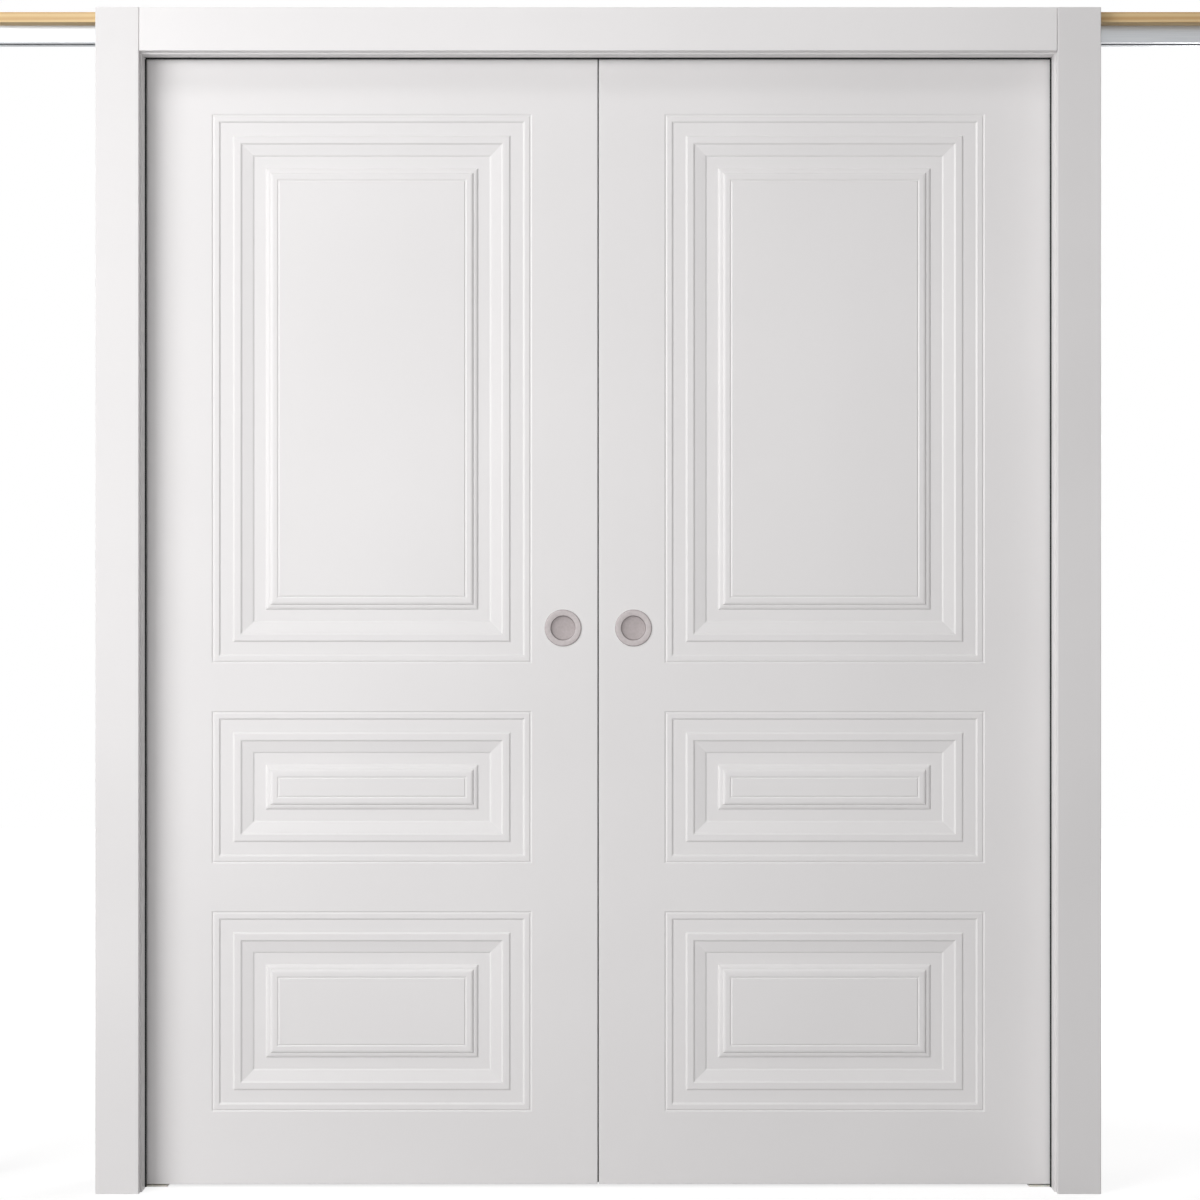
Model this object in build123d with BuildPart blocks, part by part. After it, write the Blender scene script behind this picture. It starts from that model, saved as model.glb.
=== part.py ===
from build123d import *
import math
import os

# Double pocket door with its pocket frame, casings and hanging gear, in millimetres.
# X runs along the wall, Y through it, Z up. The origin is on the floor, under the
# middle of the doorway. The two leaves are shown closed.

# Leaves
leaf_width = 813.0
leaf_height = 2032.0
leaf_thickness = 40.0
floor_gap = 5.0
meeting_gap = 2.0
jamb_overlap = 5.0
head_overlap = 19.0
slide_travel = 700.0

# Panels routed in each face of a leaf, with the plain margins and rails between them. The
# side margins are as wide as each other where they show, beside the gap and the jamb.
panel_side_margin = 120.0
panel_top_margin = 120.0
panel_rail = 90.0
panel_heights = (978.0, 268.0, 354.0)

# Routed moulding of a panel, as distances inward from its outer scored line
score_width = 5.0
score_depth = 1.2
channel_start = 10.5
channel_end = 38.6
channel_depth = 2.0
valley_start = 49.2
bevel_start_depth = 2.0
bevel_end_depth = 4.6
valley_floor_start = 73.2
valley_floor_depth = 6.0
lower_round_start = 94.0
lower_round_width = 6.5
lower_round_top_depth = 3.0
round_shelf = 1.9
upper_round_width = 5.6
inner_score = 116.7
inner_score_width = 4.6
inner_score_depth = 1.1
wall_slope_width = 3.0
step_width = 2.4
cutter_lead = 1.0

# Wall and frame section
frame_depth = 89.0
split_depth = 19.0
board_thickness = 13.5
jamb_thickness = 18.0
casing_width = 77.0
casing_thickness = 16.0
casing_round = 1.5
casing_land = 10.0
casing_relief = 1.2
reveal = 3.0
header_thickness = 18.0
pocket_end_margin = 16.0

# Black sealing strips
seal_clearance = 0.3
jamb_seal_show = 2.0
jamb_seal_width = 6.0
jamb_seal_lift = 1.0
seal_barb = 1.6
seal_barb_depth = 5.0
seal_kerf_clearance = 0.2
meeting_seal_width = 4.0
meeting_seal_offset = 3.0
meeting_kerf_depth = 5.0

# Flush pulls
pull_height = 1000.0
pull_edge_distance = 62.0
pull_diameter = 66.0
pull_rise = 2.5
pull_edge_round = 2.0
pull_lip_round = 0.6
pull_mouth_diameter = 44.0
pull_recess_depth = 5.0
pull_wall = 2.0
pull_corner_round = 2.0
pull_clearance = 0.4

# Track, and the trolleys that run in it
track_width = 36.0
track_height = 30.0
track_wall = 2.5
track_slot = 12.0
wheel_radius = 10.0
wheel_width = 7.0
wheel_hub_radius = 4.5
wheel_hub_length = 0.9
wheel_dish = 1.2
wheel_edge = 0.8
wheel_lift = 0.3
pin_radius = 2.5
pin_running_clearance = 0.05
pin_seat_clearance = 0.02
pin_head_radius = 4.0
pin_head_length = 1.0
pin_head_gap = 0.2
trolley_inset = 60.0
trolley_length = 66.0
trolley_width = 10.0
trolley_height = 14.0
trolley_corner = 4.0
axle_spacing = 40.0

# Hanger plates and bolts
plate_length = 80.0
plate_width = 30.0
plate_thickness = 3.0
plate_screw_spacing = 56.0
plate_screw_rows = 18.0
bolt_radius = 4.0
bolt_clearance = 0.3
thread_clearance = 0.02
hex_across_flats = 13.0
bolt_head_height = 5.3
nut_height = 4.5
track_clearance = 3.5
bolt_recess_radius = 11.0
bolt_recess_depth = 9.0
bolt_end_gap = 2.0

# Screws
screw_radius = 1.75
screw_head_radius = 4.0
screw_clearance = 0.05
plate_screw_length = 25.0
plate_hole_radius = 2.25
header_screw_length = 16.0
header_screw_pitch = 380.0
header_screw_count = 8
pan_head_height = 2.2

# Stops in the track
end_stop_length = 25.0
stop_side_clearance = 0.3
bumper_length = 4.0
bumper_radius = 6.0
bumper_stem_radius = 2.5
bumper_stem_length = 6.0
bumper_clearance = 0.3
stop_counterbore_radius = 5.0
stop_counterbore_depth = 14.0

# Steel split studs and floor plates
stud_width = 38.0
stud_steel = 1.5
stud_lip = 8.0
stud_bend = 1.5
floor_plate_thickness = 3.0
floor_plate_margin = 6.0
floor_plate_tab_height = 40.0
floor_plate_tab_steel = 2.0
floor_plate_tab_width = 24.0
floor_screw_radius = 2.75
floor_screw_spacing = 26.0
floor_screw_rows = 30.0

# Floor guides, each a fin that runs in the groove under its leaf
guide_fin = 6.0
guide_fin_height = 14.0
guide_base_length = 56.0
guide_base_width = 36.0
guide_base_thickness = 3.0
guide_groove = 8.0
guide_groove_depth = 15.0
guide_screw_radius = 2.25
guide_screw_rows = 24.0
guide_nose = 2.0

# End brackets of the header
bracket_steel = 2.0
bracket_drop = 68.0
bracket_tab = 40.0
bracket_hole_radius = 2.75
bracket_hole_spacing = 64.0
bracket_hole_rows = 28.0
bracket_hole_edge = 12.0
bracket_screw_spacing = 50.0

# Places worked out from the sizes above
leaf_edge = meeting_gap / 2
leaf_back_edge = leaf_edge + leaf_width
leaf_top = floor_gap + leaf_height
leaf_face = leaf_thickness / 2
opening_half = leaf_back_edge - jamb_overlap
opening_height = leaf_top - head_overlap
cavity_half = frame_depth / 2 - split_depth
wall_face = frame_depth / 2 + board_thickness
jamb_back = opening_half + jamb_thickness
head_jamb_top = opening_height + jamb_thickness
track_bottom = leaf_top + plate_thickness + nut_height + track_clearance
header_bottom = track_bottom + track_height
header_top = header_bottom + header_thickness
header_half = leaf_back_edge + slide_travel + pocket_end_margin
plate_top = leaf_top + plate_thickness
axle_height = track_bottom + track_wall + wheel_lift + wheel_radius
lead_trolley_x = leaf_edge + trolley_inset
trail_trolley_x = leaf_back_edge - trolley_inset
mouth_stud_x = jamb_back + stud_width / 2
mid_stud_x = (jamb_back + header_half) / 2
pull_x = leaf_edge + pull_edge_distance

os.makedirs("parts", exist_ok=True)


def save(piece, name):
    piece.part.label = name
    export_step(piece.part, f"parts/{name}.step")


def mirrored(piece, about):
    with BuildPart() as copy:
        mirror(piece.part, about=about)
    return copy


def turned(piece):
    # The right leaf and its gear are the left ones turned round by half a turn
    with BuildPart() as copy:
        add(piece.part, rotation=(0, 0, 180))
    return copy


def save_sides(piece, name):
    save(piece, f"left_{name}")
    save(mirrored(piece, Plane.YZ), f"right_{name}")


def save_faces(piece, name):
    save(piece, f"front_{name}")
    save(mirrored(piece, Plane.XZ), f"back_{name}")


def save_corners(piece, name):
    save_faces(piece, f"left_{name}")
    save_faces(mirrored(piece, Plane.YZ), f"right_{name}")


def save_leaf_gear(piece, name):
    save(piece, f"left_{name}")
    save(turned(piece), f"right_{name}")


# Flat casings: two legs to the full height, and a head between them. Their backs are
# hollowed between two lands, one that lies on the jamb and one on the wall.
casing_inner = opening_half + reveal
casing_middle = wall_face + casing_thickness / 2
relief_middle = wall_face + casing_relief / 2
relief_width = casing_width - 2 * casing_land
head_casing_bottom = opening_height + reveal
casing_top = head_casing_bottom + casing_width

with BuildPart() as casing_leg:
    with BuildSketch():
        with Locations((-casing_inner - casing_width / 2, -casing_middle)):
            Rectangle(casing_width, casing_thickness)
        with Locations((-casing_inner - casing_width / 2, -relief_middle)):
            Rectangle(relief_width, casing_relief, mode=Mode.SUBTRACT)
    extrude(amount=casing_top)
    fillet(casing_leg.edges().filter_by(Axis.Z).group_by(Axis.Y)[0], casing_round)

with BuildPart() as head_casing:
    with BuildSketch(Plane.YZ):
        with Locations((-casing_middle, head_casing_bottom + casing_width / 2)):
            Rectangle(casing_thickness, casing_width)
        with Locations((-relief_middle, head_casing_bottom + casing_width / 2)):
            Rectangle(casing_relief, relief_width, mode=Mode.SUBTRACT)
    extrude(amount=casing_inner, both=True)
    fillet(head_casing.faces().sort_by(Axis.Y)[0].edges(), casing_round)

save_corners(casing_leg, "casing")
save_faces(head_casing, "head_casing")

# Split jambs: each has a kerf in the edge beside the leaf, which holds the barb of a seal
jamb_depth = wall_face - cavity_half
jamb_middle = (wall_face + cavity_half) / 2
kerf_width = seal_barb + 2 * seal_kerf_clearance
kerf_depth = seal_barb_depth + seal_kerf_clearance
kerf_offset = jamb_seal_width / 2 - jamb_seal_show

with BuildPart() as side_jamb:
    with BuildSketch():
        with Locations((-opening_half - jamb_thickness / 2, -jamb_middle)):
            Rectangle(jamb_thickness, jamb_depth)
        with Locations((-opening_half - kerf_offset, -cavity_half - kerf_depth / 2)):
            Rectangle(kerf_width, kerf_depth, mode=Mode.SUBTRACT)
    extrude(amount=head_jamb_top)

with BuildPart() as head_jamb:
    with BuildSketch(Plane.YZ):
        with Locations((-jamb_middle, opening_height + jamb_thickness / 2)):
            Rectangle(jamb_depth, jamb_thickness)
        with Locations((-cavity_half - kerf_depth / 2, opening_height + kerf_offset)):
            Rectangle(kerf_depth, kerf_width, mode=Mode.SUBTRACT)
    extrude(amount=opening_half, both=True)

save_corners(side_jamb, "jamb")
save_faces(head_jamb, "head_jamb")

# Black strips between the jambs and the leaves: two legs and a head on each face
seal_depth = cavity_half - leaf_face - seal_clearance
seal_middle = cavity_half - seal_depth / 2
seal_leg_x = opening_half + kerf_offset
seal_head_z = opening_height + kerf_offset
seal_head_bottom = opening_height - jamb_seal_show
barb_length = seal_barb_depth

with BuildPart() as jamb_seal:
    with BuildSketch(Plane.XY.offset(jamb_seal_lift)):
        with Locations((-seal_leg_x, -seal_middle), (seal_leg_x, -seal_middle)):
            Rectangle(jamb_seal_width, seal_depth)
        with Locations(
            (-seal_leg_x, -cavity_half - barb_length / 2), (seal_leg_x, -cavity_half - barb_length / 2)
        ):
            Rectangle(seal_barb, barb_length)
    extrude(amount=seal_head_bottom - jamb_seal_lift)
    with BuildSketch(Plane.YZ):
        with Locations((-seal_middle, seal_head_z)):
            Rectangle(seal_depth, jamb_seal_width)
        with Locations((-cavity_half - barb_length / 2, seal_head_z)):
            Rectangle(barb_length, seal_barb)
    extrude(amount=opening_half - 2 * seal_kerf_clearance, both=True)

save_faces(jamb_seal, "jamb_seal")

# Header board over the whole pocket frame, with pilot holes for the screws in the track.
# Each end is rebated, so that the end bracket lies flush with its top.
header_screw_places = GridLocations(header_screw_pitch, 0, header_screw_count, 1).local_locations
header_screw_xs = [place.position.X for place in header_screw_places]
end_stop_x = (
    trail_trolley_x + slide_travel + trolley_length / 2 + bumper_clearance + bumper_length
    + end_stop_length / 2
)
stop_xs = (-end_stop_x, 0, end_stop_x)
bracket_seat = header_top - bracket_steel
bracket_screw_x = header_half - bracket_tab / 2
bracket_screw_points = [
    (side * bracket_screw_x, row * bracket_screw_spacing / 2) for side in (-1, 1) for row in (-1, 1)
]
pilot_radius = screw_radius + screw_clearance
stop_hole_radius = screw_radius + thread_clearance + screw_clearance
header_screw_bite = header_screw_length - track_wall

with BuildPart() as header_board:
    with BuildSketch(Plane.XY.offset(header_bottom)):
        Rectangle(2 * header_half, frame_depth)
    extrude(amount=header_thickness)
    with BuildSketch(Plane.XY.offset(header_bottom)):
        with Locations([(x, 0) for x in (*header_screw_xs, *stop_xs)]):
            Circle(pilot_radius)
    extrude(amount=header_screw_bite, mode=Mode.SUBTRACT)
    with BuildSketch(Plane.XY.offset(header_top)):
        with Locations((-bracket_screw_x, 0), (bracket_screw_x, 0)):
            Rectangle(bracket_tab, frame_depth)
    extrude(amount=-bracket_steel, mode=Mode.SUBTRACT)
    with BuildSketch(Plane.XY.offset(header_top)):
        with Locations(bracket_screw_points):
            Circle(pilot_radius)
    extrude(amount=-header_screw_length, mode=Mode.SUBTRACT)

save(header_board, "header_board")

# Timber packers over the doorway, which carry the head jambs
with BuildPart() as head_nailers:
    with BuildSketch(Plane.XY.offset(head_jamb_top)):
        with Locations((0, -frame_depth / 2 + split_depth / 2), (0, frame_depth / 2 - split_depth / 2)):
            Rectangle(2 * jamb_back, split_depth)
    extrude(amount=header_bottom - head_jamb_top)

save(head_nailers, "head_nailers")

# Extruded track, a square tube with a slot along its underside
with BuildPart() as header_track:
    with BuildSketch(Plane.YZ):
        with Locations((0, track_bottom + track_height / 2)):
            Rectangle(track_width, track_height)
            Rectangle(track_width - 2 * track_wall, track_height - 2 * track_wall, mode=Mode.SUBTRACT)
        with Locations((0, track_bottom + track_wall / 2)):
            Rectangle(track_slot, track_wall, mode=Mode.SUBTRACT)
    extrude(amount=header_half, both=True)
    with BuildSketch(Plane.XY.offset(header_bottom)):
        with Locations([(x, 0) for x in (*header_screw_xs, *stop_xs)]):
            Circle(pilot_radius)
    extrude(amount=-track_wall, mode=Mode.SUBTRACT)

save(header_track, "header_track")

# Stops held up in the track by a screw each, with rubber bumpers for the trolleys
track_roof = header_bottom - track_wall
stop_bottom = track_bottom + track_wall
stop_width = track_width - 2 * track_wall - 2 * stop_side_clearance
stop_height = track_roof - stop_bottom
stem_hole_depth = bumper_stem_length + bumper_clearance


def stop_block(length, x, bumper_sides):
    with BuildPart() as block:
        with BuildSketch(Plane.XY.offset(stop_bottom)):
            with Locations((x, 0)):
                RectangleRounded(length, stop_width, casing_round)
        extrude(amount=stop_height)
        with BuildSketch(Plane.XY.offset(stop_bottom)):
            with Locations((x, 0)):
                Circle(stop_counterbore_radius)
        extrude(amount=stop_counterbore_depth, mode=Mode.SUBTRACT)
        with BuildSketch(Plane.XY.offset(stop_bottom)):
            with Locations((x, 0)):
                Circle(stop_hole_radius)
        extrude(amount=stop_height, mode=Mode.SUBTRACT)
        for side in bumper_sides:
            end = Plane(origin=(x + side * length / 2, 0, axle_height), z_dir=(-side, 0, 0))
            with BuildSketch(end):
                Circle(bumper_stem_radius + stop_side_clearance)
            extrude(amount=stem_hole_depth, mode=Mode.SUBTRACT)
    return block


def bumper(face_x, side):
    seat = Plane(origin=(face_x, 0, axle_height), z_dir=(side, 0, 0))
    with BuildPart() as disc:
        with BuildSketch(seat):
            Circle(bumper_radius)
        extrude(amount=bumper_length)
        fillet(disc.edges().sort_by(Axis((0, 0, 0), (side, 0, 0)))[-1], casing_round)
        with BuildSketch(seat):
            Circle(bumper_stem_radius)
        extrude(amount=-bumper_stem_length)
    return disc


centre_stop_half = lead_trolley_x - trolley_length / 2 - bumper_clearance - bumper_length
centre_stop = stop_block(2 * centre_stop_half, 0, (-1, 1))
save(centre_stop, "centre_stop")

with BuildPart() as end_stops:
    add(stop_block(end_stop_length, -end_stop_x, (1,)).part)
    add(stop_block(end_stop_length, end_stop_x, (-1,)).part)
save(end_stops, "end_stops")

end_stop_face = end_stop_x - end_stop_length / 2
with BuildPart() as stop_bumpers:
    add(bumper(-centre_stop_half, -1).part)
    add(bumper(centre_stop_half, 1).part)
    add(bumper(-end_stop_face, 1).part)
    add(bumper(end_stop_face, -1).part)
save(stop_bumpers, "stop_bumpers")

# Screws of the track and stops, with pan heads, and countersunk ones in the end brackets
stop_head_seat = stop_bottom + stop_counterbore_depth
stop_screw_length = header_bottom + header_screw_bite - stop_head_seat
head_run_in = screw_head_radius - screw_radius

with BuildPart() as header_screws:
    for seat, length, xs in (
        (track_roof, header_screw_length, header_screw_xs),
        (stop_head_seat, stop_screw_length, stop_xs),
    ):
        for x in xs:
            with BuildSketch(Plane(origin=(x, 0, seat))):
                Circle(screw_radius)
            extrude(amount=length)
            with BuildSketch(Plane(origin=(x, 0, seat))):
                Circle(screw_head_radius)
            extrude(amount=-pan_head_height)
    for x, y in bracket_screw_points:
        with BuildSketch(Plane(origin=(x, y, header_top))):
            Circle(screw_radius)
        extrude(amount=-header_screw_length)
        with BuildSketch(Plane(origin=(x, y, header_top))):
            Circle(screw_head_radius)
        extrude(amount=-bracket_steel, taper=45)

save(header_screws, "header_screws")

# Folded end brackets, screwed on the header and fixed to the stud at the end of the pocket
with BuildPart() as end_bracket:
    with BuildSketch(Plane.XZ.offset(-frame_depth / 2)):
        with BuildLine():
            Polyline(
                (-header_half + bracket_tab, bracket_seat),
                (-header_half, bracket_seat),
                (-header_half, header_top - bracket_drop),
                (-header_half - bracket_steel, header_top - bracket_drop),
                (-header_half - bracket_steel, header_top),
                (-header_half + bracket_tab, header_top),
                close=True,
            )
        make_face()
    extrude(amount=frame_depth)
    fillet(
        end_bracket.edges().filter_by(Axis.Y).sort_by(Axis.X)[:4].sort_by(Axis.Z)[-1],
        bracket_steel,
    )
    bracket_hole_z = header_top - bracket_drop + bracket_hole_edge + bracket_hole_rows / 2
    with BuildSketch(Plane(origin=(-header_half, 0, bracket_hole_z), x_dir=(0, 1, 0), z_dir=(-1, 0, 0))):
        with GridLocations(bracket_hole_spacing, bracket_hole_rows, 2, 2):
            Circle(bracket_hole_radius)
    extrude(amount=bracket_steel, mode=Mode.SUBTRACT)
    with BuildSketch(Plane.XY.offset(header_top)):
        with Locations(bracket_screw_points[:2]):
            Circle(screw_head_radius + screw_clearance)
    extrude(amount=-bracket_steel, taper=45, mode=Mode.SUBTRACT)

save_sides(end_bracket, "end_bracket")

# Split studs, folded steel channels in pairs on the two faces of the pocket. The flat web
# is outside, for the screws of the wall board, and the two lips are towards the leaf.
stud_height = header_bottom - floor_plate_thickness
stud_face = frame_depth / 2


def stud_pair(x):
    with BuildPart() as pair:
        with BuildSketch(Plane.XY.offset(floor_plate_thickness)):
            with BuildLine():
                FilletPolyline(
                    (-x - stud_width / 2 + stud_lip, -cavity_half - stud_steel / 2),
                    (-x - stud_width / 2 + stud_steel / 2, -cavity_half - stud_steel / 2),
                    (-x - stud_width / 2 + stud_steel / 2, -stud_face + stud_steel / 2),
                    (-x + stud_width / 2 - stud_steel / 2, -stud_face + stud_steel / 2),
                    (-x + stud_width / 2 - stud_steel / 2, -cavity_half - stud_steel / 2),
                    (-x + stud_width / 2 - stud_lip, -cavity_half - stud_steel / 2),
                    radius=stud_bend,
                )
                offset(amount=stud_steel / 2)
            make_face()
        extrude(amount=stud_height)
        mirror(about=Plane.XZ)
    return pair


save_sides(stud_pair(mouth_stud_x), "mouth_studs")
save_sides(stud_pair(mid_stud_x), "mid_studs")

# Floor plates under the studs, with a folded tab that stands inside each channel
plate_length_x = stud_width + floor_plate_margin
tab_y = stud_face - stud_steel - floor_plate_tab_steel / 2


def floor_plate(x, near_edge):
    with BuildPart() as plate:
        with BuildSketch():
            with Locations((-(near_edge + plate_length_x / 2), 0)):
                Rectangle(plate_length_x, frame_depth)
        extrude(amount=floor_plate_thickness)
        with BuildSketch(Plane.XY.offset(floor_plate_thickness)):
            with Locations((-x, -tab_y), (-x, tab_y)):
                Rectangle(floor_plate_tab_width, floor_plate_tab_steel)
        extrude(amount=floor_plate_tab_height)
        with BuildSketch():
            with Locations((-x, 0)):
                with GridLocations(floor_screw_spacing, floor_screw_rows, 2, 2):
                    Circle(floor_screw_radius)
        extrude(amount=floor_plate_thickness, mode=Mode.SUBTRACT)
    return plate


with BuildPart() as floor_plates:
    add(floor_plate(mouth_stud_x, jamb_back).part)
    add(floor_plate(mid_stud_x, mid_stud_x - plate_length_x / 2).part)
save_sides(floor_plates, "floor_plates")

# Floor guides at the mouths of the pockets
guide_x = jamb_back - seal_clearance - guide_base_length / 2

with BuildPart() as floor_guide:
    with BuildSketch():
        with Locations((-guide_x, 0)):
            RectangleRounded(guide_base_length, guide_base_width, guide_nose)
    extrude(amount=guide_base_thickness)
    with BuildSketch(Plane.XY.offset(guide_base_thickness)):
        with Locations((-guide_x, 0)):
            SlotOverall(guide_base_length - 2 * guide_nose, guide_fin)
    extrude(amount=guide_fin_height)
    with BuildSketch():
        with Locations((-guide_x, -guide_screw_rows / 2), (-guide_x, guide_screw_rows / 2)):
            Circle(guide_screw_radius)
    extrude(amount=guide_base_thickness, mode=Mode.SUBTRACT)

save_sides(floor_guide, "floor_guide")

# Leaf: one board, its two faces routed alike with three panels of mitred mouldings.
# The moulding is swept round each panel as four cuts: an outer scored line, a shallow
# channel, a valley that bevels down to a floor and climbs back over two rounds, and a
# fine scored line inside it.
leaf_middle_x = -(leaf_edge + leaf_back_edge) / 2
panel_left = -(opening_half - panel_side_margin)
panel_right = -(leaf_edge + panel_side_margin)
panel_middle_x = (panel_left + panel_right) / 2
panel_tops = [
    leaf_top - panel_top_margin - sum(panel_heights[:row]) - row * panel_rail
    for row in range(len(panel_heights))
]
quarter_in = 1 - math.sin(math.pi / 4)
quarter_up = math.sin(math.pi / 4)
lower_round_end = lower_round_start + lower_round_width
upper_round_start = lower_round_end + round_shelf
upper_round_end = upper_round_start + upper_round_width


def scored_line(at, width, depth):
    return (
        (at - width / 2, cutter_lead),
        (at - width / 2, 0),
        (at, -depth),
        (at + width / 2, 0),
        (at + width / 2, cutter_lead),
    )


shallow_channel = (
    (channel_start, cutter_lead),
    (channel_start, 0),
    (channel_start + wall_slope_width, -channel_depth),
    (channel_end - wall_slope_width, -channel_depth),
    (channel_end, 0),
    (channel_end, cutter_lead),
)
straight_cuts = (
    scored_line(0, score_width, score_depth),
    shallow_channel,
    scored_line(inner_score, inner_score_width, inner_score_depth),
)
valley_sides = (
    (upper_round_end, 0),
    (upper_round_end, cutter_lead),
    (valley_start, cutter_lead),
    (valley_start, 0),
    (valley_start + wall_slope_width, -bevel_start_depth),
    (valley_floor_start - step_width, -bevel_end_depth),
    (valley_floor_start, -valley_floor_depth),
    (lower_round_start, -valley_floor_depth),
)


def quarter_round(start, width, low, high):
    middle = (start + width * quarter_in, -low + (low - high) * quarter_up)
    return (start, -low), middle, (start + width, -high)


def plate_screw_points():
    for trolley_x in (lead_trolley_x, trail_trolley_x):
        for along in (-1, 1):
            for row in (-1, 1):
                yield (-trolley_x + along * plate_screw_spacing / 2, row * plate_screw_rows / 2)


with BuildPart() as leaf:
    with BuildSketch(Plane.XZ):
        with Locations((leaf_middle_x, floor_gap + leaf_height / 2)):
            Rectangle(leaf_width, leaf_height)
    extrude(amount=leaf_face)
    for top, height in zip(panel_tops, panel_heights):
        bottom = top - height
        with BuildLine(Plane.XZ.offset(leaf_face)) as outer_line:
            Polyline(
                (panel_middle_x, bottom),
                (panel_right, bottom),
                (panel_right, top),
                (panel_left, top),
                (panel_left, bottom),
                close=True,
            )
        across = Plane(origin=(panel_middle_x, -leaf_face, bottom), x_dir=(0, 0, 1), z_dir=(1, 0, 0))
        with BuildSketch(across):
            for outline in straight_cuts:
                with BuildLine():
                    Polyline(*outline, close=True)
                make_face()
            with BuildLine():
                Polyline(*valley_sides)
                ThreePointArc(
                    *quarter_round(
                        lower_round_start, lower_round_width, valley_floor_depth, lower_round_top_depth
                    )
                )
                Line((lower_round_end, -lower_round_top_depth), (upper_round_start, -lower_round_top_depth))
                ThreePointArc(
                    *quarter_round(upper_round_start, upper_round_width, lower_round_top_depth, 0)
                )
            make_face()
        sweep(path=outer_line.line, transition=Transition.RIGHT, mode=Mode.SUBTRACT)
    with BuildSketch(Plane.XZ.offset(leaf_face)):
        with Locations((-pull_x, pull_height)):
            Circle(pull_mouth_diameter / 2 + pull_wall + pull_clearance)
    extrude(amount=-(pull_recess_depth + pull_wall + pull_clearance), mode=Mode.SUBTRACT)
    mirror(about=Plane.XZ)
    with BuildSketch(Plane.XY.offset(floor_gap)):
        with Locations((leaf_middle_x, 0)):
            Rectangle(leaf_width, guide_groove)
    extrude(amount=guide_groove_depth, mode=Mode.SUBTRACT)
    with BuildSketch(Plane.XY.offset(floor_gap)):
        with Locations((-leaf_edge - meeting_kerf_depth / 2, -meeting_seal_offset)):
            Rectangle(meeting_kerf_depth, meeting_seal_width + seal_kerf_clearance)
    extrude(amount=leaf_height, mode=Mode.SUBTRACT)
    with BuildSketch(Plane.XY.offset(leaf_top)):
        with Locations((-lead_trolley_x, 0), (-trail_trolley_x, 0)):
            Circle(bolt_recess_radius)
    extrude(amount=-bolt_recess_depth, mode=Mode.SUBTRACT)
    with BuildSketch(Plane.XY.offset(leaf_top)):
        with Locations(list(plate_screw_points())):
            Circle(pilot_radius)
    extrude(amount=-plate_screw_length, mode=Mode.SUBTRACT)

save_leaf_gear(leaf, "leaf")

# Black strip in the meeting edge. It reaches across the gap beside the other leaf's strip.
meeting_seal_reach = leaf_edge - seal_clearance
meeting_seal_depth = leaf_edge + meeting_kerf_depth + meeting_seal_reach

with BuildPart() as meeting_seal:
    with BuildSketch(Plane.XY.offset(floor_gap)):
        with Locations((meeting_seal_reach - meeting_seal_depth / 2, -meeting_seal_offset)):
            Rectangle(meeting_seal_depth, meeting_seal_width)
    extrude(amount=leaf_height)

save_leaf_gear(meeting_seal, "meeting_seal")

# Flush pull, a shallow cup with a broad flat ring, turned about the axis of its bore
pull_radius = pull_diameter / 2
mouth_radius = pull_mouth_diameter / 2

with BuildPart() as pull:
    with BuildSketch(Plane(origin=(-pull_x, -leaf_face, pull_height))):
        with BuildLine():
            Polyline(
                (0, pull_recess_depth),
                (mouth_radius - pull_corner_round, pull_recess_depth),
                (mouth_radius, pull_recess_depth - pull_corner_round),
                (mouth_radius, -pull_rise),
                (pull_radius, -pull_rise),
                (pull_radius, 0),
                (mouth_radius + pull_wall, 0),
                (mouth_radius + pull_wall, pull_recess_depth + pull_wall),
                (0, pull_recess_depth + pull_wall),
                close=True,
            )
        make_face()
    revolve(axis=Axis((-pull_x, -leaf_face, pull_height), (0, 1, 0)))
    fillet(pull.edges().group_by(Axis.Y)[0].sort_by(SortBy.RADIUS)[-1], pull_edge_round)
    fillet(pull.edges().group_by(Axis.Y)[0].sort_by(SortBy.RADIUS)[0], pull_lip_round)

save(pull, "left_front_pull")
save(mirrored(pull, Plane.XZ), "left_back_pull")
save(mirrored(pull, Plane.YZ), "right_front_pull")
save(turned(pull), "right_back_pull")

# Hanger plates on the top of a leaf, each with a slot that slips over its bolt
slot_radius = bolt_radius + bolt_clearance

with BuildPart() as hanger_plates:
    for trolley_x in (lead_trolley_x, trail_trolley_x):
        with BuildSketch(Plane.XY.offset(leaf_top)):
            with Locations((-trolley_x, 0)):
                RectangleRounded(plate_length, plate_width, casing_round)
                Circle(slot_radius, mode=Mode.SUBTRACT)
            with Locations((-trolley_x, -plate_width / 4)):
                Rectangle(2 * slot_radius, plate_width / 2, mode=Mode.SUBTRACT)
        extrude(amount=plate_thickness)
    with BuildSketch(Plane.XY.offset(plate_top)):
        with Locations(list(plate_screw_points())):
            Circle(screw_head_radius + screw_clearance)
    extrude(amount=-(screw_head_radius - plate_hole_radius), taper=45, mode=Mode.SUBTRACT)
    with BuildSketch(Plane.XY.offset(leaf_top)):
        with Locations(list(plate_screw_points())):
            Circle(plate_hole_radius)
    extrude(amount=plate_thickness, mode=Mode.SUBTRACT)

save_leaf_gear(hanger_plates, "hanger_plates")

with BuildPart() as plate_screws:
    with BuildSketch(Plane.XY.offset(plate_top)):
        with Locations(list(plate_screw_points())):
            Circle(screw_radius)
    extrude(amount=-plate_screw_length)
    with BuildSketch(Plane.XY.offset(plate_top)):
        with Locations(list(plate_screw_points())):
            Circle(screw_head_radius)
    extrude(amount=-head_run_in + screw_clearance, taper=45)

save_leaf_gear(plate_screws, "plate_screws")

# Hanger bolts: the head bears up under the plate, and the shank screws into the trolley.
# A lock nut on the plate holds the setting.
bolt_end = axle_height + trolley_height / 2 - bolt_end_gap

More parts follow.
